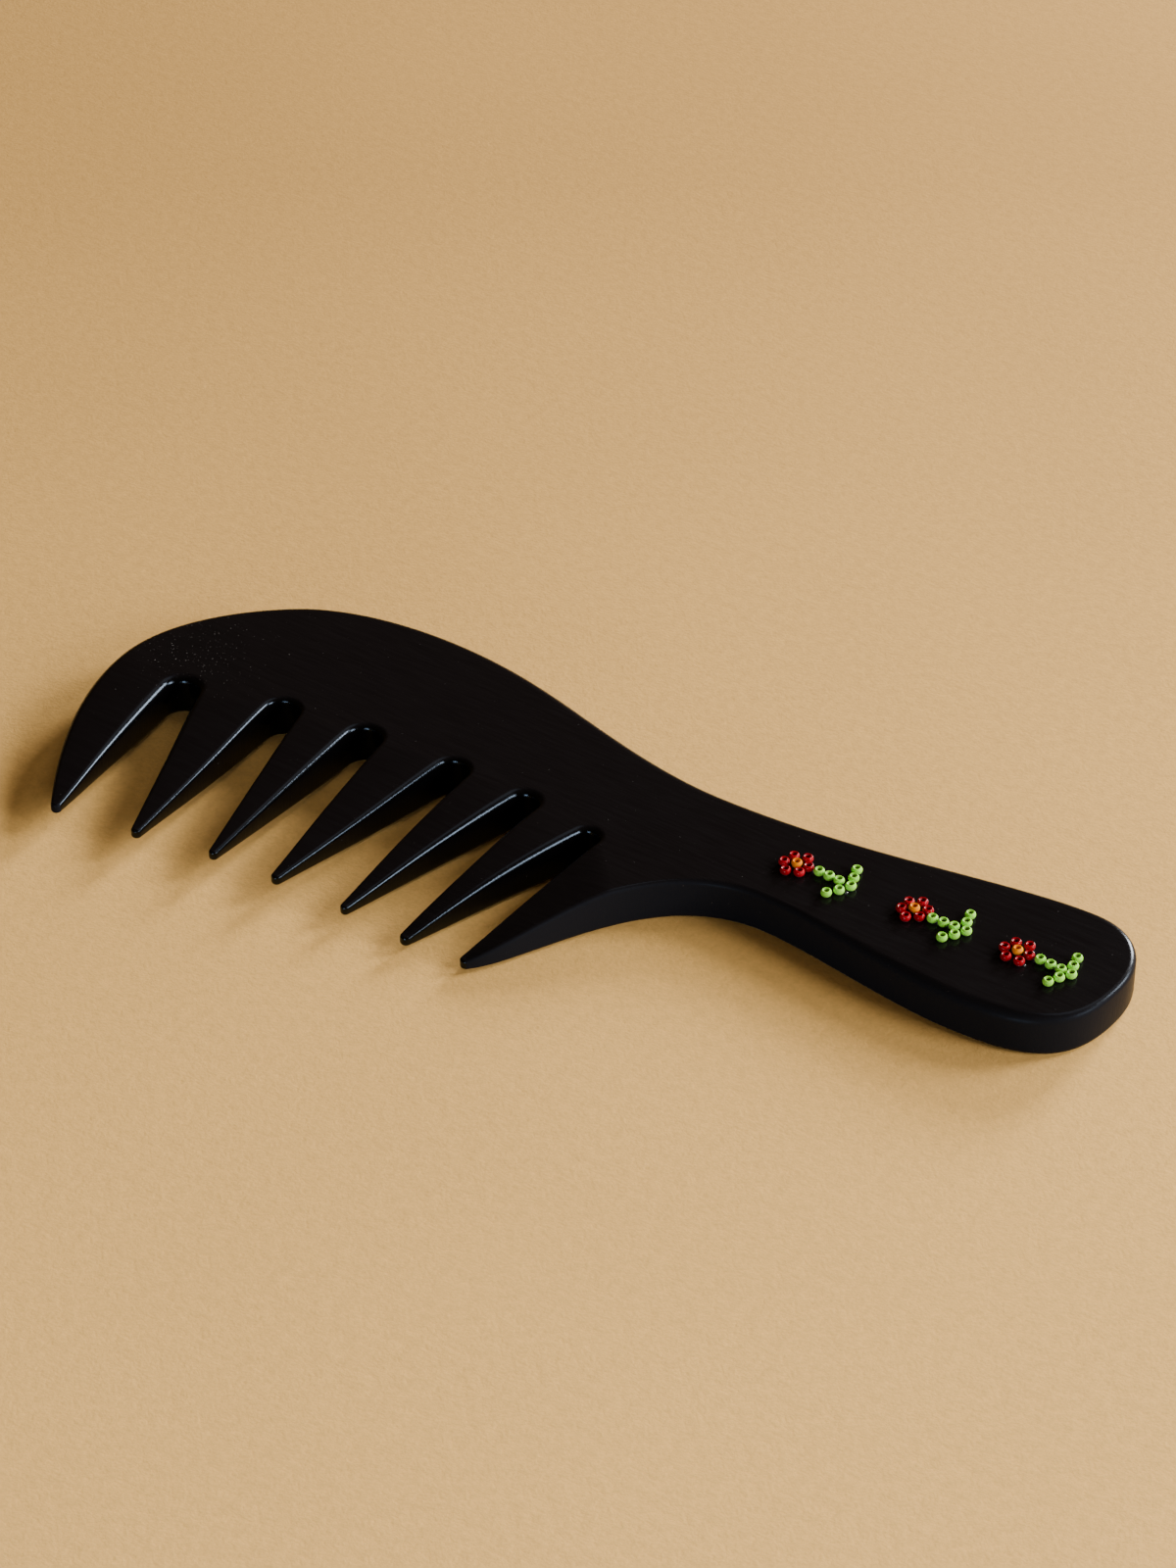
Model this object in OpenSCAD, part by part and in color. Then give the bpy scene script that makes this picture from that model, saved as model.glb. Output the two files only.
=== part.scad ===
// Wide-tooth comb of black stained wood, carved from one board, lying flat.
// Three flowers of small glass beads stand on the upper face of the handle.
// The comb is drawn with x from the head to the end of the handle, y from the
// tooth tips to the back, and z up from the surface that it lies on.

/* [Board] */
// Overall length, from the head to the end of the handle
comb_l = 200.5; // [160:0.5:240]
// Overall width, from the longest tooth tip to the top of the back
comb_w = 79; // [70:0.5:92]
// Thickness of the body and the handle
body_t = 8.5; // [7:0.5:12]

/* [Edges] */
// Rounding of the upper edge where it is roundest, along the front of the handle
top_round = 2.2; // [1.2:0.1:2.6]
// Rounding of the lower edge there
base_round = 1.6; // [1:0.1:2.2]
// Rounding of the edges at the tooth tips
tip_round = 0.6; // [0.3:0.1:0.7]

/* [Teeth] */
// Thickness of a tooth at its tip
tip_t = 2; // [1.6:0.1:3]
// How softly the taper of a tooth starts at its root
taper_ease = 0.1; // [0.05:0.05:0.3]
// How much of the bulge of the carved tooth sides is kept
belly_share = 1; // [0:0.1:1.5]

/* [Beads] */
// Diameter of a bead
bead_d = 2.05; // [1.6:0.05:2.05]
// Height of a bead along its hole
bead_h = 1.3; // [1:0.1:1.9]
// Diameter of the hole through a bead
bead_hole = 0.7; // [0.5:0.1:0.9]
// Gap between the beads and the wood, filled by glue
bead_gap = 0.05; // [0.02:0.01:0.2]
// How much higher the bead in the middle of a flower sits
centre_lift = 0.3; // [0:0.1:0.5]
// How far the petals are spread from the middle of a flower
petal_spread = 1; // [1:0.005:1.03]

/* [Hidden] */
// The length and width at which the tables below are drawn
drawn_l = 200.5;
drawn_w = 79;
sx = comb_l / drawn_l;
sy = comb_w / drawn_w;

// Teeth: tip centre x and y, tip radius, height of the middle of the tip, how
// long the tooth stays thick, bulge of its left and its right side
tips = [
    [17.7, -50.7, 1.0, 4.2, 1.2, 0, -0.2],
    [34.1, -48.1, 1.0, 4.1, 1.0, -0.1, 0.2],
    [49.2, -45.1, 0.9, 4.0, 1.1, 0, 0],
    [62.5, -44.1, 1.0, 3.9, 0.95, 0.2, 0.1],
    [76.8, -43.1, 0.9, 3.0, 1.2, 0.2, -0.2],
    [89.8, -42.9, 1.1, 2.2, 1.6, -0.2, -0.2],
    [101.6, -41.5, 1.1, 1.6, 0.95, 0.1, 0]
];

// Round ends of the gaps between the teeth: centre x, centre y, radius,
// rounding of the edges
gaps = [
    [16.8, -14.3, 3.2, 1.7],
    [36.2, -9.0, 3.3, 1.1],
    [53.4, -7.0, 3.3, 1.3],
    [72.3, -5.7, 3.0, 1.2],
    [88.2, -6.0, 2.6, 1.5],
    [103.3, -8.0, 2.1, 1.4]
];

// Outer edge, from the last tooth round the handle and the back to the first
// tooth: x, y, heading, reach of the curve before and after the point, and the
// share of the full rounding that the edge has there
rim = [
    [138.0, -4.5, 0, 23, 10, 0.55],
    [176.5, -8.5, 0, 12, 17, 1],
    [200.5, 10.5, 90, 15, 7, 0.5],
    [187.5, 25.1, 180, 9, 10, 0.8],
    [150.0, 19.5, 190, 12.5, 12, 1],
    [115.5, 16.0, 180, 11.5, 11, 1],
    [82.0, 22.0, 165, 10.5, 9, 1],
    [49.0, 27.3, 180, 13.5, 13, 1],
    [17.5, 19.1, 217, 9, 9, 1],
    [0, -10.2, 270, 13, 15.4, 1]
];
last_heading = 44;
last_reach = 11;
first_heading = 306;
first_reach = 13;
// Share of the last tooth's outer curve that belongs to the tooth
last_share = 0.55;
// Share of the full rounding on that curve
neck_share = 0.42;

// Flowers: centre x and y (these two follow the board's length and width, the
// beads round them keep their own distances), turn of the petals, where the stem starts from the
// centre in x and y, turn of the stem, step to its last bead, turn of the first
// and of the second bead of the upper leaf and of the lower leaf, leaf step
flowers = [
    [138.35, 5.65, 14, 4.25, 0.6, -3, 2.5, 110, 109, 242, 233, 2.35],
    [161.6, 6.7, 26, 3.85, -0.3, 3, 2.35, 120, 105, 238, 234, 2.3],
    [181.9, 7.0, 7, 4.25, 0.35, -4, 2.1, 112, 102, 235, 244, 2.25]
];
// How far the six petals of each flower stand from its centre
reaches = [
    [2.15, 2.55, 2.35, 2.3, 2.6, 2.2],
    [2.4, 2.5, 2.15, 2.2, 2.6, 2.15],
    [2.15, 2.6, 2.3, 2.4, 2.45, 2.6]
];
stem_step = 2.1;
petal_count = 6;
stem_count = 4;
leaf_count = 2;

edge_steps = 12;
tip_steps = 6;
gap_steps = 10;
rim_step = 3.2;
top_turns = [0, 30, 60, 90];
base_turns = [90, 45, 0];

tooth_count = len(tips);
rim_last = len(rim) - 1;
origin_shift = [-comb_l / 2, comb_w / 2 - 27.3 * sy, 0];

function mix(a, b, t) = a + (b - a) * t;
function ray(a) = [cos(a), sin(a)];
function flat(v) = [v[0], v[1]];
function stretch(v) = [v[0] * sx, v[1] * sy];

// One curve of the rim between two points with headings and reaches
function bend(p, a, p_reach, q, b, q_reach, t) =
    pow(1 - t, 3) * p
    + 3 * pow(1 - t, 2) * t * (p + p_reach * stretch(ray(a)))
    + 3 * (1 - t) * t * t * (q - q_reach * stretch(ray(b)))
    + pow(t, 3) * q;

function tip_at(j) = stretch(tips[j]);
function gap_at(j) = stretch(gaps[j]);
function rim_at(k) = stretch(rim[k]);

// Outward direction of the straight side of tooth j that meets gap g
function side_out(j, g, turn) =
    let (d = gap_at(g) - tip_at(j))
    let (a = atan2(d[1], d[0]) - turn * acos((tips[j][2] + gaps[g][2]) / norm(d)))
    ray(a);

// A point on that side, from the tip circle at t = 0 to the gap circle at 1
function side_point(j, g, turn, t) =
    let (n = side_out(j, g, turn))
    mix(tip_at(j) + tips[j][2] * n, gap_at(g) - gaps[g][2] * n, t)
    + n * belly_share * tips[j][turn < 0 ? 5 : 6] * pow(sin(180 * t), 2);

function first_side(t) =
    bend(rim_at(rim_last), rim[rim_last][2], rim[rim_last][4],
         tip_at(0) + tips[0][2] * ray(first_heading - 90), first_heading, first_reach, 1 - t);

function last_side(t) =
    bend(tip_at(6) + tips[6][2] * ray(last_heading - 90), last_heading, last_reach,
         rim_at(0), rim[0][2], rim[0][3], t);

// Left and right side of a tooth at the share t of the way up to its root
function left_side(j, t) = j == 0 ? first_side(t) : side_point(j, j - 1, -1, t);
function right_side(j, t) =
    j == tooth_count - 1 ? last_side(t * last_share) : side_point(j, j, 1, t);

function angle_of(v) = (atan2(v[1], v[0]) + 360) % 360;
function left_turn(j) = j == 0 ? first_heading - 90 : angle_of(side_out(j, j - 1, -1));
function right_turn(j) =
    j == tooth_count - 1 ? last_heading + 270 : angle_of(side_out(j, j, 1)) + 360;
function tip_point(j, t) =
    let (right = right_turn(j) > 400 ? right_turn(j) - 360 : right_turn(j))
    tip_at(j) + tips[j][2] * ray(mix(left_turn(j), right, t));

function gap_point(j, t) =
    let (a = angle_of(-side_out(j, j, 1)))
    let (b = angle_of(-side_out(j + 1, j, -1)))
    gap_at(j) + gaps[j][2] * ray(mix(a, b > 180 ? b - 360 : b, t));

// The taper: 1 in the body and 0 at the tip, with a soft start at the root
function fullness(j, t) =
    1 - pow(1 - t, tips[j][4] + 1) * (1 + taper_ease) / (1 - t + taper_ease);
function side_round(j, left, outer) =
    left ? (j == 0 ? outer : gaps[j - 1][3])
         : (j == tooth_count - 1 ? outer : gaps[j][3]);

// A row for each point of the outline: x, y, top z, base z, top and base rounding
function tooth_row(p, j, t, left) =
    let (f = fullness(j, t))
    let (outer = (j == 0 ? rim[rim_last][5] : neck_share) * top_round)
    [p[0], p[1],
     mix(tips[j][3] + tip_t / 2, body_t, f),
     mix(tips[j][3] - tip_t / 2, 0, f),
     mix(tip_round, side_round(j, left, outer), f),
     mix(tip_round, side_round(j, left, base_round), f)];
function body_row(p, top, base) = [p[0], p[1], body_t, 0, top, base];

function rim_count(p, q) = max(3, ceil(norm(q - p) / rim_step));

tooth_rows = [for (j = [0 : tooth_count - 1]) each concat(
    [for (k = [0 : edge_steps]) let (t = 1 - k / edge_steps) tooth_row(left_side(j, t), j, t, true)],
    [for (k = [1 : tip_steps - 1]) tooth_row(tip_point(j, k / tip_steps), j, 0, true)],
    [for (k = [0 : edge_steps]) let (t = k / edge_steps) tooth_row(right_side(j, t), j, t, false)],
    j == tooth_count - 1 ? [] :
        [for (k = [1 : gap_steps - 1]) body_row(gap_point(j, k / gap_steps), gaps[j][3], gaps[j][3])]
)];

// The neck, the handle and the back: x, y and the share of the full rounding
neck_steps = 6;
rim_points = concat(
    [for (k = [1 : neck_steps])
        let (p = last_side(mix(last_share, 1, k / neck_steps)))
        [p[0], p[1], mix(neck_share, rim[0][5], pow(k / neck_steps, 2))]],
    [for (s = [0 : rim_last - 1])
        let (a = rim[s], b = rim[s + 1], p = rim_at(s), q = rim_at(s + 1), n = rim_count(p, q))
        for (k = [1 : n])
            let (w = bend(p, a[2], a[4], q, b[2], b[3], k / n))
            [w[0], w[1], mix(a[5], b[5], (1 - cos(180 * k / n)) / 2)]]
);
rim_rows = [for (k = [0 : len(rim_points) - 2])
    let (w = rim_points[k])
    body_row(flat(w), w[2] * top_round, base_round)];

rows = concat(tooth_rows, rim_rows);
count = len(rows);

function out_at(k) =
    let (d = flat(rows[(k + 1) % count]) - flat(rows[(k + count - 1) % count]))
    [d[1], -d[0]] / norm(d);
outs = [for (k = [0 : count - 1]) out_at(k)];

// The rounded edge, ring by ring from the upper face down to the lower face
points = concat(
    [for (a = top_turns) for (k = [0 : count - 1])
        let (w = rows[k], in = w[4] * (1 - sin(a)))
        [w[0] - outs[k][0] * in, w[1] - outs[k][1] * in, w[2] - w[4] * (1 - cos(a))]],
    [for (a = base_turns) for (k = [0 : count - 1])
        let (w = rows[k], in = w[5] * (1 - sin(a)))
        [w[0] - outs[k][0] * in, w[1] - outs[k][1] * in, w[3] + w[5] * (1 - cos(a))]]
);
ring_count = len(top_turns) + len(base_turns);

// Numbers of the outline points that bound the body below and above
tooth_span = 2 * (edge_steps + 1) + tip_steps - 1 + gap_steps - 1;
function root_right(j) = j * tooth_span + 2 * edge_steps + tip_steps;
last_root = root_right(tooth_count - 1);
handle_end = last_root + neck_steps + rim_count(rim_at(0), rim_at(1)) + rim_count(rim_at(1), rim_at(2));
back_chain = concat([0], [for (k = [count - 1 : -1 : handle_end]) k]);
function back_index(x) =
    min(len(back_chain) - 1, max(0, len([for (k = back_chain) if (rows[k][0] < x) 1]) - 1));

// Lower boundary with, for each point, the place on the back that it faces
clear = 0.8;
front_chain = concat(
    [[0, 0]],
    [for (j = [0 : tooth_count - 2]) each concat(
        [for (k = [0 : gap_steps])
            let (side = k <= gap_steps / 2 ? -1 : 1)
            [root_right(j) + k, back_index(gap_at(j)[0] + side * (gaps[j][2] + clear)) + (side + 1) / 2]]
    )],
    [for (k = [last_root : handle_end - 1]) [k, back_index(rows[k][0])]],
    [[handle_end, len(back_chain) - 1]]
);

upper_body = [for (k = [0 : len(front_chain) - 2]) each
    let (a = front_chain[k], b = front_chain[k + 1])
    concat(
        [[a[0], b[0], back_chain[a[1]]]],
        [for (m = [a[1] : 1 : b[1] - 1]) [b[0], back_chain[m + 1], back_chain[m]]]
    )];

upper_teeth = [for (j = [0 : tooth_count - 1]) each
    let (mid = j * tooth_span + edge_steps + tip_steps / 2)
    [for (k = [0 : edge_steps + tip_steps / 2 - 1]) each
        k == 0 ? [[mid, mid + 1, mid - 1]] :
            [[mid - k, mid + k, mid + k + 1], [mid - k, mid + k + 1, mid - k - 1]]]
];

upper_faces = [for (f = concat(upper_body, upper_teeth))
    if (f[0] != f[1] && f[1] != f[2] && f[2] != f[0]) f];
base_start = (ring_count - 1) * count;
edge_faces = [for (r = [0 : ring_count - 2]) for (k = [0 : count - 1])
    let (a = r * count + k, b = r * count + (k + 1) % count)
    each [[a, a + count, b + count], [a, b + count, b]]];

// Every face is listed clockwise as seen from outside
faces = concat(
    [for (f = upper_faces) [f[2], f[1], f[0]]],
    [for (f = upper_faces) [f[0] + base_start, f[1] + base_start, f[2] + base_start]],
    [for (f = edge_faces) [f[2], f[1], f[0]]]
);

function petal_at(f, p) =
    let (w = flowers[f])
    stretch(w) + petal_spread * reaches[f][p] * ray(w[2] + 360 * p / petal_count);
function stem_at(f, s) =
    let (w = flowers[f], along = s < stem_count - 1 ? s * stem_step : (s - 1) * stem_step + w[6])
    stretch(w) + petal_spread * [w[3], w[4]] + along * ray(w[5]);
function leaf_at(f, side, s) =
    let (w = flowers[f], first = side > 0 ? 7 : 9)
    stem_at(f, stem_count - 1) + w[11] * (ray(w[first]) + s * ray(w[first + 1]));

petal_names = [for (f = [1 : len(flowers)]) for (p = [1 : petal_count]) str("flower_", f, "_petal_", p)];
centre_names = [for (f = [1 : len(flowers)]) str("flower_", f, "_centre")];
stem_names = [for (f = [1 : len(flowers)]) for (s = [1 : stem_count]) str("flower_", f, "_stem_", s)];
leaf_names = [for (f = [1 : len(flowers)]) for (side = ["upper", "lower"]) for (s = [1 : leaf_count])
    str("flower_", f, "_", side, "_leaf_", s)];

module comb_body() {
    color([0.09, 0.075, 0.08])
    translate(origin_shift)
    polyhedron(points = points, faces = faces, convexity = 12);
}

// A bead with its hole upright, its wall rounded above and below
module bead(at, lift = 0) {
    wall = (bead_d - bead_hole) / 2;
    translate(origin_shift + [at[0], at[1], body_t + bead_gap + lift])
    rotate_extrude($fn = 48)
    translate([bead_hole / 2 + wall / 2, 0])
    union() {
        translate([-wall / 2, wall / 2]) square([wall, bead_h - wall]);
        translate([0, wall / 2]) circle(d = wall, $fn = 48);
        translate([0, bead_h - wall / 2]) circle(d = wall, $fn = 48);
    }
}

module petal_bead(f, p) {
    color([0.75, 0.06, 0.06])
    bead(petal_at(f, p));
}

module centre_bead(f) {
    color([0.95, 0.65, 0.1])
    bead(stretch(flowers[f]), centre_lift);
}

module stem_bead(f, s) {
    color([0.5, 0.8, 0.2])
    bead(stem_at(f, s));
}

module leaf_bead(f, side, s) {
    color([0.5, 0.8, 0.2])
    bead(leaf_at(f, side, s));
}

comb_body();
for (f = [0 : len(flowers) - 1]) {
    for (p = [0 : petal_count - 1])
        petal_bead(f, p);
    centre_bead(f);
    for (s = [0 : stem_count - 1])
        stem_bead(f, s);
    for (side = [0, 1], s = [0 : leaf_count - 1])
        leaf_bead(f, 1 - 2 * side, s);
}
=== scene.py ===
# A wide-tooth comb of black stained wood with three flowers of glass beads
import math
from collections import namedtuple

import bpy
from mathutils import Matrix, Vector


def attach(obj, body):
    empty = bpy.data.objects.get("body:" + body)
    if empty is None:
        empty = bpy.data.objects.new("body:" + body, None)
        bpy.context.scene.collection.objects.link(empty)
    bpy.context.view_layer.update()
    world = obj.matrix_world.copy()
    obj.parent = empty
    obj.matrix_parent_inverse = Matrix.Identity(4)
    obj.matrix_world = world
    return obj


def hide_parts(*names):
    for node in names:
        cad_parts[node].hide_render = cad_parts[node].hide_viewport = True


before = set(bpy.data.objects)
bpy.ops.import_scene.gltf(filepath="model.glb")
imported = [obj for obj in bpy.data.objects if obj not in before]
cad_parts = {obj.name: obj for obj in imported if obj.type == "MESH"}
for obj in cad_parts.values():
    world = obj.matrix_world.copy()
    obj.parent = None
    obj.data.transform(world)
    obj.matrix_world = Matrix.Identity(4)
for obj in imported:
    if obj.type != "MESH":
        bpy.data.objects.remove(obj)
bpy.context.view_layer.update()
mm = 0.001  # the comb's own tables are in millimetres


cameraSet = {
    "place": (350.05, -490.8, 475.4),  # mm, right of and in front of the comb
    "lookAt": (-11.85, 26.0, 0.0),
    "lens": 100.0,
    "film": (27.0, 36.0),              # an upright picture, 3 by 4
    "clip": (0.05, 20.0),              # m
}


def aim(obj, target):
    toTarget = Vector(target) - obj.location
    obj.rotation_euler = toTarget.to_track_quat("-Z", "Y").to_euler()


def makeCamera():
    data = bpy.data.cameras.new("photoCamera")
    data.lens = cameraSet["lens"]
    data.sensor_fit = "VERTICAL"
    data.sensor_width, data.sensor_height = cameraSet["film"]
    data.clip_start, data.clip_end = cameraSet["clip"]
    camera = bpy.data.objects.new("photoCamera", data)
    bpy.context.collection.objects.link(camera)
    camera.location = Vector(cameraSet["place"]) * mm
    aim(camera, Vector(cameraSet["lookAt"]) * mm)
    bpy.context.scene.camera = camera
    print("camera:", round(camera.location.length, 3), "m from the comb's middle")


# a long low bank of windows behind and to the right, and a weak fill low in front:
# degrees round from +X and up from the floor, size and distance in metres
lightColumns = ("name", "heading", "height", "size", "watts", "colour")
lightSet = {
    "distance": 1.6,
    "lights": [dict(zip(lightColumns, row)) for row in (
        ("sideWindow", 11, 20, 0.68, 28.5, (1.0, 0.99, 0.98)),
        ("middleWindow", 51, 26, 0.54, 31.0, (1.0, 0.99, 0.98)),
        ("farWindow", 87, 18, 0.46, 41.0, (1.0, 0.99, 0.98)),
        ("highWindow", 74, 62, 0.9, 2.8, (1.0, 0.99, 0.98)),
        ("frontFill", -75, 9, 0.5, 11.0, (0.76, 0.88, 1.0)),
    )],
    "airColour": (1.0, 0.5, 0.08), "airStrength": 0.072,  # light that the warm room gives back
}


def makeLights():
    for light in lightSet["lights"]:
        data = bpy.data.lights.new(light["name"], "AREA")
        data.shape = "DISK"
        data.size = light["size"]
        data.energy = light["watts"]
        data.color = light["colour"]
        obj = bpy.data.objects.new(light["name"], data)
        bpy.context.collection.objects.link(obj)
        heading, height = math.radians(light["heading"]), math.radians(light["height"])
        level = Vector((math.cos(heading), math.sin(heading), 0)) * math.cos(height)
        obj.location = lightSet["distance"] * (level + Vector((0, 0, math.sin(height))))
        aim(obj, (0, 0, 0))
    world = bpy.data.worlds.new("studioAir")
    world.use_nodes = True
    background = world.node_tree.nodes["Background"]
    background.inputs["Color"].default_value = (*lightSet["airColour"], 1)
    background.inputs["Strength"].default_value = lightSet["airStrength"]
    bpy.context.scene.world = world
    print("lights:", len(lightSet["lights"]), "soft windows")


# small helpers for node trees: a value is another node's output, a number or a tuple
def feed(tree, node, values):
    for key, value in values.items():
        socket = node.inputs[key]
        if isinstance(value, bpy.types.NodeSocket):
            tree.links.new(value, socket)
        elif socket.type == "RGBA":
            socket.default_value = (*value, 1)
        else:
            socket.default_value = value


def addNode(tree, kind, values=None, **settings):
    node = tree.nodes.new(kind)
    for key, value in settings.items():
        setattr(node, key, value)
    feed(tree, node, values or {})
    return node


def mathNode(tree, kind, *values):
    node = addNode(tree, "ShaderNodeMath", dict(enumerate(values)), operation=kind)
    return node.outputs["Value"]


def noiseAt(tree, coords, scale, detail, roughness, stretch=(1, 1, 1)):
    mapping = addNode(tree, "ShaderNodeMapping", {"Vector": coords, "Scale": stretch})
    texture = addNode(tree, "ShaderNodeTexNoise", {
        "Vector": mapping.outputs["Vector"],
        "Scale": scale, "Detail": detail, "Roughness": roughness,
    })
    return texture.outputs["Fac"]


def spread(tree, value, low, high, toLow=0.0, toHigh=1.0):
    node = addNode(tree, "ShaderNodeMapRange", {
        "Value": value, "From Min": low, "From Max": high, "To Min": toLow, "To Max": toHigh,
    })
    return node.outputs["Result"]


def blendColours(tree, share, first, second):
    # sockets 6, 7 and 2 are the colour ones of a mix node
    return addNode(tree, "ShaderNodeMix", {0: share, 6: first, 7: second},
                   data_type="RGBA").outputs[2]


def bumpFrom(tree, height, distance, strength, after=None):
    values = {"Height": height, "Distance": distance, "Strength": strength}
    if after is not None:
        values["Normal"] = after
    return addNode(tree, "ShaderNodeBump", values).outputs["Normal"]


def newMaterial(name):
    material = bpy.data.materials.new(name)
    material.use_nodes = True
    tree = material.node_tree
    return material, tree, tree.nodes["Principled BSDF"]


def objectCoords(tree):
    return addNode(tree, "ShaderNodeTexCoord").outputs["Object"]


def attribute(tree, name):
    return addNode(tree, "ShaderNodeAttribute", attribute_name=name).outputs["Fac"]


paperSet = {
    "size": 12.0,  # m
    "far": (0.565, 0.318, 0.09), "near": (1.0, 0.59, 0.174),  # painted light falloff: the paper is coloured lighter toward the camera
    "toward": (0.5736, -0.8192, 0), "farAt": -0.25, "nearAt": 0.24,
    "fleck": (0.1, 0.05, 0.01), "fleckShare": 0.3,
    "fibre": 480.0, "cloud": 9.0, "relief": 0.00015,
    "roughness": 0.9, "shine": 0.1,
}


def paperMaterial():
    material, tree, shader = newMaterial("sandPaper")
    coords = objectCoords(tree)
    fine = noiseAt(tree, coords, paperSet["fibre"] * 3, 2.0, 0.6)
    fibres = noiseAt(tree, coords, paperSet["fibre"], 4.0, 0.65)
    clouds = noiseAt(tree, coords, paperSet["cloud"], 2.0, 0.5)
    along = addNode(tree, "ShaderNodeVectorMath", {0: coords, 1: paperSet["toward"]},
                    operation="DOT_PRODUCT")
    # painted light falloff across the floor: darker far away, lighter near the camera
    paintedLightFalloff = spread(tree, along.outputs["Value"], paperSet["farAt"], paperSet["nearAt"])
    sheet = blendColours(tree, paintedLightFalloff, paperSet["far"], paperSet["near"])
    flecks = mathNode(tree, "ADD", spread(tree, fibres, 0.3, 0.72, 0.0, 0.55),
                      spread(tree, fine, 0.35, 0.7, 0.0, 0.3))
    flecks = mathNode(tree, "ADD", flecks, spread(tree, clouds, 0.35, 0.65, 0.0, 0.15))
    share = spread(tree, flecks, 0, 1, 0, paperSet["fleckShare"])
    grain = mathNode(tree, "ADD", fibres, fine)
    feed(tree, shader, {
        "Base Color": blendColours(tree, share, sheet, paperSet["fleck"]),
        "Roughness": paperSet["roughness"],
        "Specular IOR Level": paperSet["shine"],
        "Normal": bumpFrom(tree, grain, paperSet["relief"], 0.5),
    })
    return material


def makeFloor():
    half = paperSet["size"] / 2
    corners = [(-half, -half, 0), (half, -half, 0), (half, half, 0), (-half, half, 0)]
    mesh = bpy.data.meshes.new("paperFloor")
    mesh.from_pydata(corners, [], [(0, 1, 2, 3)])
    mesh.materials.append(paperMaterial())
    floor = bpy.data.objects.new("paperFloor", mesh)
    bpy.context.collection.objects.link(floor)
    print("floor:", paperSet["size"], "m of sand paper")


board = {
    "length": 200.5, "width": 79.0, "thickness": 8.5,
    "inset": 0.004,                         # keeps this fine mesh inside the coarser solid
    "topRound": 2.2, "baseRound": 1.6,      # edges, where they are roundest
    "tipRound": 0.6, "tipThickness": 2.0,   # tooth tips
    "taperEase": 0.1,                       # how softly a tooth starts to thin
    "sideSteps": 44, "tipSteps": 14,        # points along a tooth's side and round its tip
    "gapSteps": 26, "neckSteps": 18,        # and round a gap's root and along the neck
    "rimStep": 1.1,                         # mm between points on the rest of the outline
    "topRings": 9, "baseRings": 7,          # rings of points in the two roundings
}
# a tooth's tip circle, the height of the tip's middle, how long the tooth stays thick
# and how far its two sides swell
toothColumns = ("x", "y", "radius", "mid", "stay", "leftBulge", "rightBulge")
teeth = [dict(zip(toothColumns, row)) for row in (
    (17.7, -50.7, 1.0, 4.2, 1.2, 0, -0.2),
    (34.1, -48.1, 1.0, 4.1, 1.0, -0.1, 0.2),
    (49.2, -45.1, 0.9, 4.0, 1.1, 0, 0),
    (62.5, -44.1, 1.0, 3.9, 0.95, 0.2, 0.1),
    (76.8, -43.1, 0.9, 3.0, 1.2, 0.2, -0.2),
    (89.8, -42.9, 1.1, 2.2, 1.6, -0.2, -0.2),
    (101.6, -41.5, 1.1, 1.6, 0.95, 0.1, 0),
)]
# a gap's root circle and the rounding of its edges
gapColumns = ("x", "y", "radius", "round")
gaps = [dict(zip(gapColumns, row)) for row in (
    (16.8, -14.3, 3.2, 1.7),
    (36.2, -9.0, 3.3, 1.1),
    (53.4, -7.0, 3.3, 1.3),
    (72.3, -5.7, 3.0, 1.2),
    (88.2, -6.0, 2.6, 1.5),
    (103.3, -8.0, 2.1, 1.4),
)]
# the rest of the outline, from the neck round the handle and back over the head: a point,
# its heading, the curve's reach before and after it, and the share of the full rounding
rimColumns = ("x", "y", "heading", "before", "after", "share")
rim = [dict(zip(rimColumns, row)) for row in (
    (138.0, -4.5, 0, 23, 10, 0.55),
    (176.5, -8.5, 0, 12, 17, 1),
    (200.5, 10.5, 90, 15, 7, 0.5),
    (187.5, 25.1, 180, 9, 10, 0.8),
    (150.0, 19.5, 190, 12.5, 12, 1),
    (115.5, 16.0, 180, 11.5, 11, 1),
    (82.0, 22.0, 165, 10.5, 9, 1),
    (49.0, 27.3, 180, 13.5, 13, 1),
    (17.5, 19.1, 217, 9, 9, 1),
    (0, -10.2, 270, 13, 15.4, 1),
)]
outerSide = {
    "firstHeading": 306, "firstReach": 13,  # the free sides of the first and the last tooth
    "lastHeading": 44, "lastReach": 11,
    "lastShare": 0.55,                      # how much of the last one still belongs to the tooth
    "neckShare": 0.42,                      # the share of the full rounding there
}
boardShift = Vector((-board["length"] / 2, board["width"] / 2 - max(row["y"] for row in rim)))
outlineRow = namedtuple("outlineRow", "x y top base topRound baseRound outer")


def ray(degrees):
    return Vector((math.cos(math.radians(degrees)), math.sin(math.radians(degrees))))


def angleOf(v):
    return math.degrees(math.atan2(v.y, v.x)) % 360


def spot(row):
    return Vector((row["x"], row["y"]))


def between(a, b, t):
    return a + (b - a) * t


def onFrame(p, height):
    # millimetres into Blender's metres
    return p.x * mm, p.y * mm, height * mm


def bend(p, heading, reach, q, heading2, reach2, t):
    # a curve from p to q that leaves and arrives along the two headings
    a, b = p + reach * ray(heading), q - reach2 * ray(heading2)
    s = 1 - t
    return s ** 3 * p + 3 * s ** 2 * t * a + 3 * s * t * t * b + t ** 3 * q


def sideOut(tooth, gap, turn):
    # the way out of a tooth, square to the straight line that touches the two circles:
    # turn is -1 on its left and 1 on its right
    d = spot(gap) - spot(tooth)
    lean = math.degrees(math.acos((tooth["radius"] + gap["radius"]) / d.length))
    return ray(angleOf(d) - turn * lean)


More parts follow.
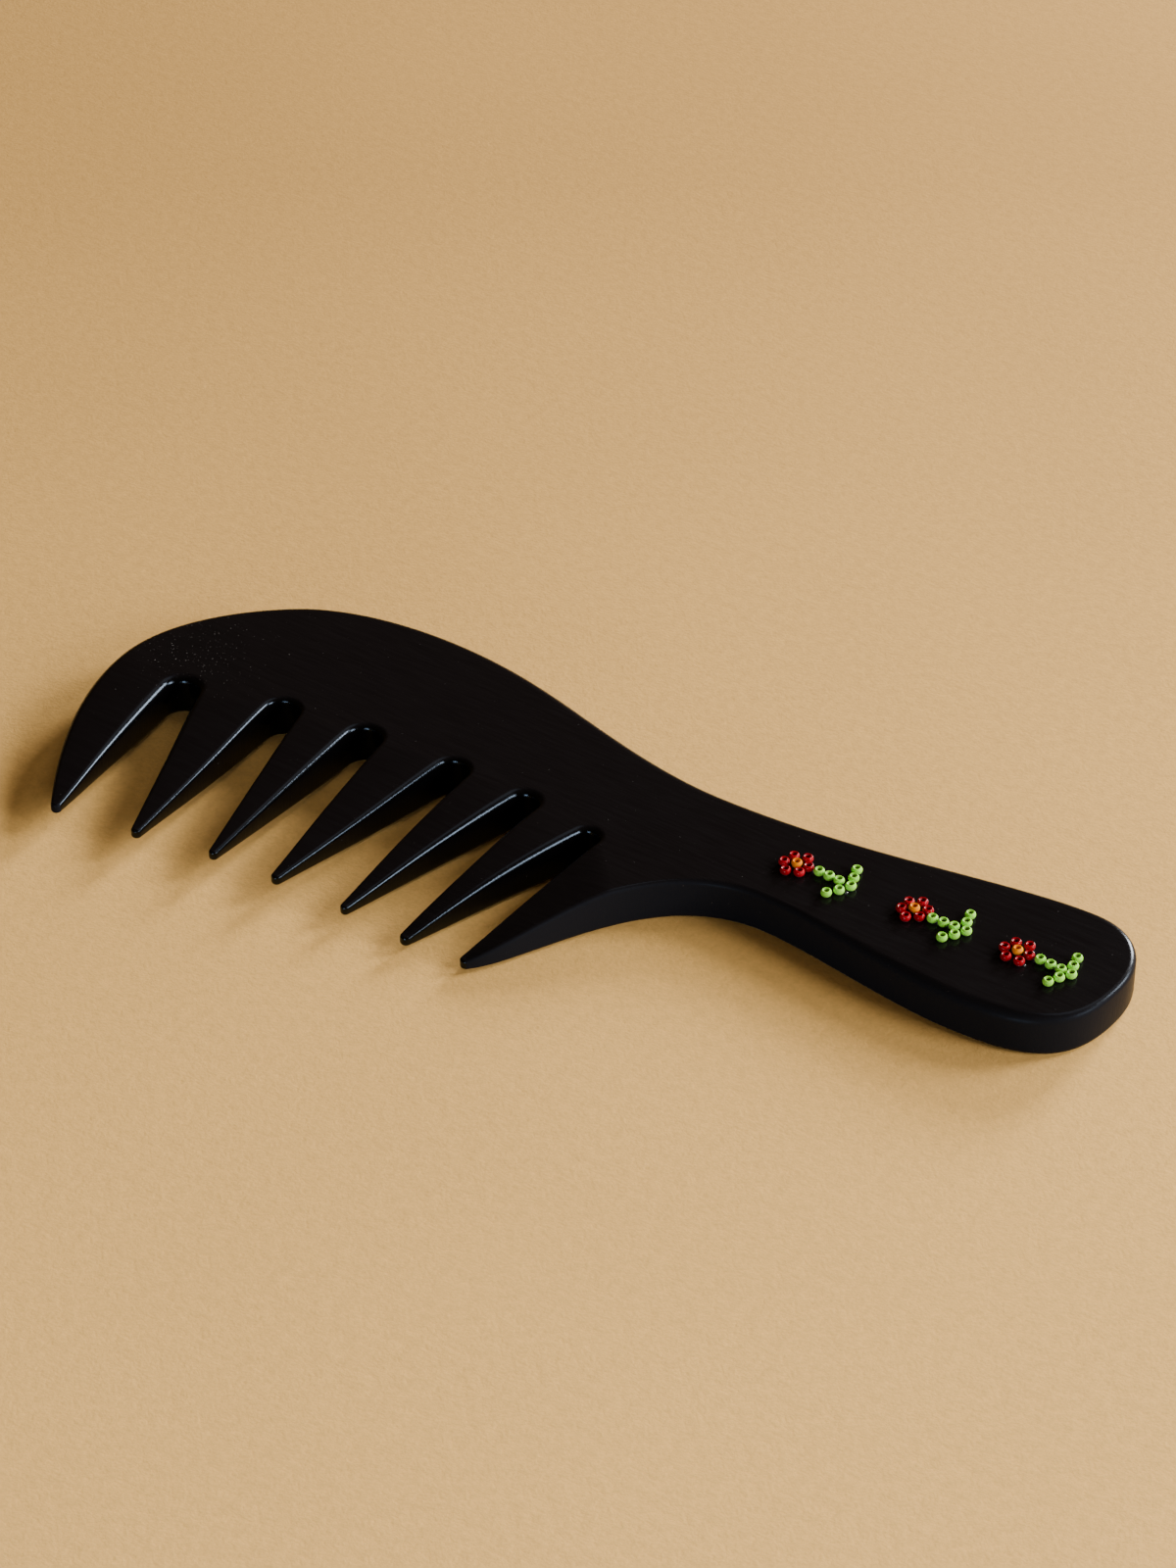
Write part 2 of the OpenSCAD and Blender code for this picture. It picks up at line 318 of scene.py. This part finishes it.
def sidePoint(tooth, gap, turn, t):
    n = sideOut(tooth, gap, turn)
    bulge = tooth["leftBulge" if turn < 0 else "rightBulge"] * math.sin(math.pi * t) ** 2
    return between(spot(tooth) + tooth["radius"] * n, spot(gap) - gap["radius"] * n, t) + n * bulge


# along every side t runs from 0 at the tooth's tip to 1 at its root
def firstSide(t):
    tip, last = teeth[0], rim[-1]
    return bend(spot(last), last["heading"], last["after"],
                spot(tip) + tip["radius"] * ray(outerSide["firstHeading"] - 90),
                outerSide["firstHeading"], outerSide["firstReach"], 1 - t)


def lastSide(t):
    tip, first = teeth[-1], rim[0]
    return bend(spot(tip) + tip["radius"] * ray(outerSide["lastHeading"] - 90),
                outerSide["lastHeading"], outerSide["lastReach"],
                spot(first), first["heading"], first["before"], t)


def leftSide(j, t):
    return firstSide(t) if j == 0 else sidePoint(teeth[j], gaps[j - 1], -1, t)


def rightSide(j, t):
    if j == len(teeth) - 1:
        return lastSide(t * outerSide["lastShare"])
    return sidePoint(teeth[j], gaps[j], 1, t)


def tipPoint(j, t):
    left, right = outerSide["firstHeading"] - 90, outerSide["lastHeading"] - 90
    if j > 0:
        left = angleOf(sideOut(teeth[j], gaps[j - 1], -1))
    if j < len(teeth) - 1:
        right = angleOf(sideOut(teeth[j], gaps[j], 1))
    return spot(teeth[j]) + teeth[j]["radius"] * ray(left + (right - left) % 360 * t)


def gapPoint(j, t):
    left = angleOf(-sideOut(teeth[j], gaps[j], 1))
    right = angleOf(-sideOut(teeth[j + 1], gaps[j], -1))
    return spot(gaps[j]) + gaps[j]["radius"] * ray(left - (left - right) % 360 * t)


def fullness(tooth, t):
    # 0 at the tooth's tip, 1 where it has the board's full thickness
    ease = board["taperEase"]
    return 1 - (1 - t) ** (tooth["stay"] + 1) * (1 + ease) / (1 - t + ease)


def toothRow(p, j, t, left):
    tooth, full = teeth[j], fullness(teeth[j], t)
    outer = j == (0 if left else len(teeth) - 1)
    if outer:
        share = rim[-1]["share"] if left else outerSide["neckShare"]
        topRound, baseRound = share * board["topRound"], board["baseRound"]
    else:
        topRound = baseRound = gaps[j - 1 if left else j]["round"]
    half = board["tipThickness"] / 2
    return outlineRow(
        p.x, p.y,
        between(tooth["mid"] + half, board["thickness"], full),
        between(tooth["mid"] - half, 0, full),
        between(board["tipRound"], topRound, full),
        between(board["tipRound"], baseRound, full),
        1 if outer else 0)


def fullRow(p, topRound, baseRound, outer):
    return outlineRow(p.x, p.y, board["thickness"], 0, topRound, baseRound, outer)


def teethRows():
    rows, spans = [], []  # a span is the first and last row of a tooth
    side, tip, root = board["sideSteps"], board["tipSteps"], board["gapSteps"]
    for j in range(len(teeth)):
        start = len(rows)
        for k in range(side + 1):
            rows.append(toothRow(leftSide(j, 1 - k / side), j, 1 - k / side, True))
        for k in range(1, tip):
            rows.append(toothRow(tipPoint(j, k / tip), j, 0, True))
        for k in range(side + 1):
            rows.append(toothRow(rightSide(j, k / side), j, k / side, False))
        spans.append((start, len(rows) - 1))
        if j < len(gaps):
            edge = gaps[j]["round"]
            rows += [fullRow(gapPoint(j, k / root), edge, edge, 0) for k in range(1, root)]
    return rows, spans


def rimRows():
    edge = []  # points with the share of the full rounding
    for k in range(1, board["neckSteps"] + 1):
        t = k / board["neckSteps"]
        share = between(outerSide["neckShare"], rim[0]["share"], t * t)
        edge.append((lastSide(between(outerSide["lastShare"], 1, t)), share))
    for a, b in zip(rim, rim[1:]):
        count = max(3, math.ceil((spot(b) - spot(a)).length / board["rimStep"]))
        for k in range(1, count + 1):
            t = k / count
            p = bend(spot(a), a["heading"], a["after"], spot(b), b["heading"], b["before"], t)
            ease = (1 - math.cos(math.pi * t)) / 2
            edge.append((p, between(a["share"], b["share"], ease)))
    # the last point is left out, since the first tooth starts with it
    return [fullRow(p, share * board["topRound"], board["baseRound"], 1) for p, share in edge[:-1]]


def edgeRings(rows):
    # rings of points down the upper rounding, then down the lower one
    count = len(rows)
    flat = [Vector((row.x, row.y)) for row in rows]
    along = [flat[(k + 1) % count] - flat[k - 1] for k in range(count)]
    outs = [Vector((d.y, -d.x)).normalized() for d in along]
    upper = [90 * k / (board["topRings"] - 1) for k in range(board["topRings"])]
    lower = [90 - 90 * k / (board["baseRings"] - 1) for k in range(board["baseRings"])]
    rings = []
    for angles, above in ((upper, True), (lower, False)):
        for angle in map(math.radians, angles):
            ring = []
            for row, p, out in zip(rows, flat, outs):
                radius = row.topRound if above else row.baseRound
                q = p - out * (board["inset"] + radius * (1 - math.sin(angle))) + boardShift
                drop = radius * (1 - math.cos(angle))
                ring.append(onFrame(q, row.top - drop if above else row.base + drop))
            rings.append(ring)
    return rings


def faceParts(spans, count):
    # a broad face in flat parts: each tooth's tip, strips across the tooth, and the board
    side, tip = board["sideSteps"], board["tipSteps"]
    parts = []
    for start, _ in spans:
        parts.append(range(start + side, start + side + tip + 1))
        for k in range(side):
            left, right = start + side - k, start + side + tip + k
            parts.append((left, right, right + 1, left - 1))
    body = []
    nextStarts = [start for start, _ in spans[1:]] + [count]
    for (start, end), following in zip(spans, nextStarts):
        body += [start, *range(end, following)]
    return parts + [body]


def combMesh():
    rows, spans = teethRows()
    rows += rimRows()
    rings, count = edgeRings(rows), len(rows)
    faces = []
    for a in range(0, (len(rings) - 1) * count, count):
        for k in range(count):
            m = (k + 1) % count
            faces.append((a + k, a + count + k, a + count + m, a + m))
    lowest = (len(rings) - 1) * count
    for part in faceParts(spans, count):
        faces.append(list(part))
        faces.append([lowest + k for k in reversed(part)])
    mesh = bpy.data.meshes.new("combBoard")
    mesh.from_pydata([point for ring in rings for point in ring], [], faces)
    mesh.shade_smooth()
    for face in mesh.polygons[-2:]:
        face.use_smooth = False  # the two broad faces are planed flat
    outer = mesh.attributes.new("outerSide", "FLOAT", "POINT")
    outer.data.foreach_set("value", [row.outer for row in rows] * len(rings))
    return mesh


woodSet = {
    "stain": (0.0042, 0.0033, 0.0036), "stainLight": (0.0056, 0.0045, 0.0048),
    "gapStainAndShade": (0.0009, 0.0008, 0.0009),     # between the teeth the stain is painted darker as shade, and it is glossy
    "sideStainAndSheen": (0.0078, 0.0082, 0.0105),    # the outer side is painted lighter and bluer as a cool sheen, and dull
    "roughness": 0.2, "gapRoughness": 0.16, "sideRoughness": 0.32,
    "shine": 0.13, "gapShine": 0.26, "sideShine": 0.025, "shineTint": (0.55, 0.74, 1.0),
    "wallFrom": 0.97, "wallTo": 0.55,         # how level it is where a side starts and is full
    "fibre": 120.0, "fibreRelief": 0.00002, "stroke": 260.0, "strokeRelief": 0.00009,
    "cloud": 60.0,
    "dust": (0.13, 0.12, 0.115), "dustPlace": (-0.089, 0.008, 0.0085), "dustReach": 0.02,
    "dustGrain": 2300.0, "dustExtra": 0.11, "dustFrom": 0.76, "dustTo": 0.82,
}


def woodMaterial():
    material, tree, shader = newMaterial("blackStainedWood")
    coords = objectCoords(tree)
    normal = addNode(tree, "ShaderNodeTexCoord").outputs["Normal"]
    level = addNode(tree, "ShaderNodeSeparateXYZ", {"Vector": normal}).outputs["Z"]
    level = mathNode(tree, "ABSOLUTE", level)
    wall = spread(tree, level, woodSet["wallTo"], woodSet["wallFrom"], 1.0, 0.0)
    side = mathNode(tree, "MULTIPLY", wall, attribute(tree, "outerSide"))
    gap = mathNode(tree, "SUBTRACT", wall, side)

    def byPlace(key, gapKey, sideKey):
        top = woodSet[key]
        inGap = mathNode(tree, "MULTIPLY", gap, woodSet[gapKey] - top)
        atSide = mathNode(tree, "MULTIPLY", side, woodSet[sideKey] - top)
        return mathNode(tree, "ADD", mathNode(tree, "ADD", top, inGap), atSide)

    fibres = noiseAt(tree, coords, woodSet["fibre"], 5.0, 0.6, (1, 14, 6))    # along the board
    strokes = noiseAt(tree, coords, woodSet["stroke"], 4.0, 0.65, (6, 6, 1))  # knife and sandpaper
    clouds = noiseAt(tree, coords, woodSet["cloud"], 2.0, 0.5)
    tone = spread(tree, fibres, 0.35, 0.7)
    stain = blendColours(tree, tone, woodSet["stain"], woodSet["stainLight"])
    # painted shade: the stain on the walls between the teeth is darkened
    stain = blendColours(tree, gap, stain, woodSet["gapStainAndShade"])
    # painted sheen: the outer side's stain is made lighter and bluer for the cool light it
    # reflects
    stain = blendColours(tree, side, stain, woodSet["sideStainAndSheen"])

    # pale dust, thickest on the head
    away = addNode(tree, "ShaderNodeVectorMath", {0: coords, 1: woodSet["dustPlace"]},
                   operation="DISTANCE").outputs["Value"]
    near = spread(tree, away, 0.0, woodSet["dustReach"], woodSet["dustExtra"], 0.0)
    specks = mathNode(tree, "ADD", noiseAt(tree, coords, woodSet["dustGrain"], 2.0, 0.6), near)
    dusty = spread(tree, specks, woodSet["dustFrom"], woodSet["dustTo"])

    uneven = mathNode(tree, "ADD", spread(tree, clouds, 0.3, 0.7, -0.02, 0.02),
                      spread(tree, fibres, 0.3, 0.7, -0.02, 0.03))
    rough = byPlace("roughness", "gapRoughness", "sideRoughness")
    cuts = mathNode(tree, "MULTIPLY", strokes, wall)
    relief = bumpFrom(tree, fibres, woodSet["fibreRelief"], 0.5)
    feed(tree, shader, {
        "Base Color": blendColours(tree, dusty, stain, woodSet["dust"]),
        "Roughness": mathNode(tree, "ADD", rough, uneven),
        "Specular IOR Level": byPlace("shine", "gapShine", "sideShine"),
        "Specular Tint": woodSet["shineTint"],
        "Normal": bumpFrom(tree, cuts, woodSet["strokeRelief"], 0.5, relief),
    })
    return material


def makeComb():
    comb = bpy.data.objects.new("wood_comb", combMesh())
    bpy.context.collection.objects.link(comb)
    comb.data.materials.append(woodMaterial())
    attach(comb, "root")
    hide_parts("comb_body")
    print("comb:", len(comb.data.vertices), "points,", len(comb.data.polygons), "faces")


beadSet = {
    "width": 2.05, "height": 1.26, "hole": 0.66, "fullness": 0.74,
    "gap": 0.05, "centreLift": 0.28, "petalCount": 6, "stemStep": 2.1,
    "tilt": 2.5, "spin": 60,                # degrees of lean, and the turn about the bore in tilts
    "smallest": 0.95, "largest": 0.985, "seed": 4,
    "ringSteps": 36, "sectionSteps": 28, "lipPower": 4.0,
}
# a flower's centre, the turn of its petals, the stem's start, heading and last step, the
# headings of each leaf's two beads, the step to them, and how far out each petal stands
flowerColumns = ("x", "y", "turn", "stemX", "stemY", "stemTurn", "lastStep",
                 "upper1", "upper2", "lower1", "lower2", "leafStep", "reaches")
flowers = [dict(zip(flowerColumns, row)) for row in (
    (138.35, 5.65, 14, 4.25, 0.6, -3, 2.5,
     110, 109, 242, 233, 2.35, (2.15, 2.55, 2.35, 2.3, 2.6, 2.2)),
    (161.6, 6.7, 26, 3.85, -0.3, 3, 2.35,
     120, 105, 238, 234, 2.3, (2.4, 2.5, 2.15, 2.2, 2.6, 2.15)),
    (181.9, 7.0, 7, 4.25, 0.35, -4, 2.1,
     112, 102, 235, 244, 2.25, (2.15, 2.6, 2.3, 2.4, 2.45, 2.6)),
)]


def petalSpots(flower):
    return [spot(flower) + reach * ray(flower["turn"] + 360 * p / beadSet["petalCount"])
            for p, reach in enumerate(flower["reaches"])]


def greenSpots(flower):
    start = spot(flower) + Vector((flower["stemX"], flower["stemY"]))
    step = beadSet["stemStep"]
    along = (0, step, 2 * step, 2 * step + flower["lastStep"])
    spots = [start + a * ray(flower["stemTurn"]) for a in along]
    end = spots[-1]
    for leaf in ("upper", "lower"):
        first = end + flower["leafStep"] * ray(flower[leaf + "1"])
        spots += [first, first + flower["leafStep"] * ray(flower[leaf + "2"])]
    return spots


beadInputs = {
    "Spots": "Geometry", "Bead Width": "Float", "Bead Height": "Float", "Hole Width": "Float",
    "Fullness": "Float", "Tilt": "Float", "Smallest": "Float", "Largest": "Float",
    "Seed": "Int", "Glass": "Material",
}


def beadRing(tree, given):
    # one bead, a shaped section swept round a circle
    def calc(kind, *values):
        return mathNode(tree, kind, *values)

    outer = calc("MULTIPLY", given["Bead Width"], 0.5)
    bore = calc("MULTIPLY", given["Hole Width"], 0.5)

    def ballAt(high):
        rest = calc("SUBTRACT", 1.0, calc("MULTIPLY", high, high))
        return calc("MULTIPLY", outer, calc("SQRT", rest))

    ring = addNode(tree, "GeometryNodeCurvePrimitiveCircle", {
        "Resolution": beadSet["ringSteps"], "Radius": outer,
    })
    section = addNode(tree, "GeometryNodeCurvePrimitiveCircle", {
        "Resolution": beadSet["sectionSteps"], "Radius": 1.0,
    })
    position = addNode(tree, "GeometryNodeInputPosition").outputs["Position"]
    place = addNode(tree, "ShaderNodeSeparateXYZ", {"Vector": position}).outputs

    # the outer side is a slice of a ball, the bore widens to a soft lip
    inside = calc("LESS_THAN", place["X"], 0.0)
    ball = ballAt(calc("MULTIPLY", place["Y"], given["Fullness"]))
    flare = calc("POWER", place["Y"], beadSet["lipPower"])
    widening = calc("MULTIPLY", calc("SUBTRACT", ballAt(given["Fullness"]), bore), flare)
    lip = calc("MULTIPLY", inside, calc("ADD", bore, widening))
    radius = calc("ADD", lip, calc("MULTIPLY", calc("SUBTRACT", 1.0, inside), ball))
    profile = addNode(tree, "ShaderNodeCombineXYZ", {
        "X": calc("SUBTRACT", radius, outer),
        "Y": calc("MULTIPLY", calc("MULTIPLY", place["Y"], 0.5), given["Bead Height"]),
    })
    # painted shade: 'bore' is highest deep in the hole, where the glass is coloured darker
    bored = addNode(tree, "GeometryNodeStoreNamedAttribute", {
        "Geometry": section.outputs["Curve"], "Name": "bore",
        "Value": calc("MULTIPLY", inside, calc("SUBTRACT", 1.0, flare)),
    }, data_type="FLOAT", domain="POINT")
    shaped = addNode(tree, "GeometryNodeSetPosition", {
        "Geometry": bored.outputs["Geometry"], "Position": profile.outputs["Vector"],
    })
    swept = addNode(tree, "GeometryNodeCurveToMesh", {
        "Curve": ring.outputs["Curve"], "Profile Curve": shaped.outputs["Geometry"],
    })
    smooth = addNode(tree, "GeometryNodeSetShadeSmooth", {"Geometry": swept.outputs["Mesh"]})
    return smooth.outputs["Geometry"]


def beadTree():
    tree = bpy.data.node_groups.new("seedBeads", "GeometryNodeTree")
    tree.is_modifier = True
    sockets = {}
    for name, kind in beadInputs.items():
        socket = tree.interface.new_socket(name, in_out="INPUT", socket_type="NodeSocket" + kind)
        sockets[name] = socket.identifier
    tree.interface.new_socket("Beads", in_out="OUTPUT", socket_type="NodeSocketGeometry")
    given = addNode(tree, "NodeGroupInput").outputs
    index = addNode(tree, "GeometryNodeInputIndex").outputs["Index"]

    def chance(kind, low, high, shift):
        # a random value for each bead, from its number and the seed
        node = addNode(tree, "FunctionNodeRandomValue", data_type=kind)
        seed = mathNode(tree, "ADD", given["Seed"], shift)
        values = {"Min": low, "Max": high, "ID": index, "Seed": seed}
        places = {s.name: k for k, s in enumerate(node.inputs) if s.enabled}
        feed(tree, node, {places[name]: value for name, value in values.items()})
        return next(s for s in node.outputs if s.enabled)

    spin = beadSet["spin"]
    lean = addNode(tree, "ShaderNodeVectorMath", {
        0: chance("FLOAT_VECTOR", (-1, -1, -spin), (1, 1, spin), 2), 1: given["Tilt"],
    }, operation="MULTIPLY")
    beads = addNode(tree, "GeometryNodeInstanceOnPoints", {
        "Points": given["Spots"], "Instance": beadRing(tree, given),
        "Rotation": lean.outputs["Vector"],
        "Scale": chance("FLOAT", given["Smallest"], given["Largest"], 1),
    })
    toned = addNode(tree, "GeometryNodeStoreNamedAttribute", {
        "Geometry": beads.outputs["Instances"], "Name": "beadTone",
        "Value": chance("FLOAT", 0.0, 1.0, 3),
    }, data_type="FLOAT", domain="INSTANCE")
    real = addNode(tree, "GeometryNodeRealizeInstances", {"Geometry": toned.outputs["Geometry"]})
    painted = addNode(tree, "GeometryNodeSetMaterial", {
        "Geometry": real.outputs["Geometry"], "Material": given["Glass"],
    })
    addNode(tree, "NodeGroupOutput", {"Beads": painted.outputs["Geometry"]})
    return tree, sockets


# bore is the painted shade colour inside each bead's hole
glassColumns = ("colour", "deep", "bore", "glow", "roughness", "shine")
glasses = {
    "redGlass": dict(zip(glassColumns, (
        (0.4, 0.004, 0.014), (0.23, 0.001, 0.005), (0.11, 0.001, 0.003), 0.3, 0.16, 0.11))),
    "amberGlass": dict(zip(glassColumns, (
        (0.77, 0.27, 0.0), (0.63, 0.15, 0.0), (0.44, 0.08, 0.0), 0.15, 0.22, 0.02))),
    "limeGlass": dict(zip(glassColumns, (
        (0.36, 0.78, 0.09), (0.28, 0.67, 0.058), (0.12, 0.25, 0.02), 0.35, 0.24, 0.09))),
}
glassSet = {"bending": 1.52, "glowDepth": 0.0006, "swirl": 700.0, "relief": 0.00005}


def glassMaterial(name):
    glass = glasses[name]
    material, tree, shader = newMaterial(name)
    swirl = noiseAt(tree, objectCoords(tree), glassSet["swirl"], 2.0, 0.5)
    tone = mathNode(tree, "MULTIPLY", attribute(tree, "beadTone"), 0.5)  # half goes by bead
    tone = mathNode(tree, "ADD", tone, spread(tree, swirl, 0.3, 0.7, 0.0, 0.5))
    skin = blendColours(tree, tone, glass["colour"], glass["deep"])
    feed(tree, shader, {
        # painted shade inside the bore
        "Base Color": blendColours(tree, attribute(tree, "bore"), skin, glass["bore"]),
        "Roughness": glass["roughness"],
        "IOR": glassSet["bending"],
        "Specular IOR Level": glass["shine"],
        "Subsurface Weight": glass["glow"],
        "Subsurface Radius": glass["colour"],
        "Subsurface Scale": glassSet["glowDepth"],
        "Normal": bumpFrom(tree, swirl, glassSet["relief"], 0.4),
    })
    return material


def makeBeads(name, spots, lift, material, nodeNames):
    tree, sockets = beadTree()
    height = board["thickness"] + beadSet["gap"] + lift + beadSet["height"] / 2
    source = bpy.data.meshes.new(name + "Spots")
    source.from_pydata([onFrame(p + boardShift, height) for p in spots], [], [])
    maker = bpy.data.objects.new(name + "Maker", source)
    bpy.context.collection.objects.link(maker)
    modifier = maker.modifiers.new("beads", "NODES")
    modifier.node_group = tree
    values = {
        "Bead Width": beadSet["width"] * mm, "Bead Height": beadSet["height"] * mm,
        "Hole Width": beadSet["hole"] * mm, "Fullness": beadSet["fullness"],
        "Tilt": math.radians(beadSet["tilt"]),
        "Smallest": beadSet["smallest"], "Largest": beadSet["largest"],
        "Seed": beadSet["seed"], "Glass": material,
    }
    for key, value in values.items():
        modifier[sockets[key]] = value
    bpy.context.view_layer.update()
    depsgraph = bpy.context.evaluated_depsgraph_get()
    mesh = bpy.data.meshes.new_from_object(maker.evaluated_get(depsgraph), depsgraph=depsgraph)
    bpy.data.objects.remove(maker)
    beads = bpy.data.objects.new(name, mesh)
    bpy.context.collection.objects.link(beads)
    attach(beads, "root")
    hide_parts(*nodeNames)
    print(name + ":", len(spots), "beads,", len(mesh.polygons), "faces",
          [round(v, 5) for v in beads.dimensions])


def makeFlowers():
    def nodesWith(*words):
        return [n for n in sorted(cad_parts) if any(word in n for word in words)]

    makeBeads("red_petals", [p for f in flowers for p in petalSpots(f)], 0,
              glassMaterial("redGlass"), nodesWith("petal"))
    makeBeads("amber_centres", [spot(f) for f in flowers], beadSet["centreLift"],
              glassMaterial("amberGlass"), nodesWith("centre"))
    makeBeads("lime_stems_and_leaves", [p for f in flowers for p in greenSpots(f)], 0,
              glassMaterial("limeGlass"), nodesWith("stem", "leaf"))


glueSet = {
    "skirt": 0.66, "skirtHeight": 0.2, "steps": 20, "rings": 5,
    "clear": (0.8, 0.81, 0.83), "cloudy": (0.7, 0.71, 0.71),
    "smoothest": 0.04, "roughest": 0.14, "letsThrough": 0.95, "bending": 1.48,
    "ripple": 1800.0, "relief": 0.00008,
}
dropColumns = ("x", "y", "radius", "height")
drops = [dict(zip(dropColumns, row)) for row in (  # squeezed out beside the beads
    (149.2, 4.5, 0.42, 0.3),
    (184.4, 5.1, 0.36, 0.25),
    (191.9, 9.4, 0.4, 0.3),
    (171.1, 4.8, 0.34, 0.22),
    (161.4, 6.2, 0.3, 0.2),
)]


def glueMaterial():
    material, tree, shader = newMaterial("clearGlue")
    ripples = noiseAt(tree, objectCoords(tree), glueSet["ripple"], 2.0, 0.5)
    feed(tree, shader, {
        "Base Color": blendColours(tree, ripples, glueSet["clear"], glueSet["cloudy"]),
        "Roughness": spread(tree, ripples, 0.3, 0.7, glueSet["smoothest"], glueSet["roughest"]),
        "Transmission Weight": glueSet["letsThrough"],
        "IOR": glueSet["bending"],
        "Normal": bumpFrom(tree, ripples, glueSet["relief"], 0.5),
    })
    return material


def addDrop(points, faces, middle, radius, height):
    steps, rings = glueSet["steps"], glueSet["rings"]
    start, foot = len(points), board["thickness"]
    for ring in range(rings):
        angle = math.radians(90 * ring / rings)
        for k in range(steps):
            p = middle + radius * math.cos(angle) * ray(360 * k / steps) + boardShift
            points.append(onFrame(p, foot + height * math.sin(angle)))
    points.append(onFrame(middle + boardShift, foot + height))
    peak = len(points) - 1
    faces.append([start + k for k in reversed(range(steps))])
    for ring in range(rings):
        for k in range(steps):
            a = start + ring * steps + k
            b = start + ring * steps + (k + 1) % steps
            faces.append((a, b, b + steps, a + steps) if ring < rings - 1 else (a, b, peak))


def makeGlue():
    points, faces = [], []
    seated = [p for f in flowers for p in petalSpots(f) + greenSpots(f)]
    for p in seated:
        addDrop(points, faces, p, glueSet["skirt"], glueSet["skirtHeight"])
    for drop in drops:
        addDrop(points, faces, spot(drop), drop["radius"], drop["height"])
    mesh = bpy.data.meshes.new("glueDrops")
    mesh.from_pydata(points, [], faces)
    mesh.shade_smooth()
    mesh.materials.append(glueMaterial())
    glue = bpy.data.objects.new("clear_glue", mesh)
    bpy.context.collection.objects.link(glue)
    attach(glue, "root")
    print("glue:", len(seated), "skirts and", len(drops), "drops")


makeCamera()
makeLights()
makeFloor()
makeComb()
makeFlowers()
makeGlue()
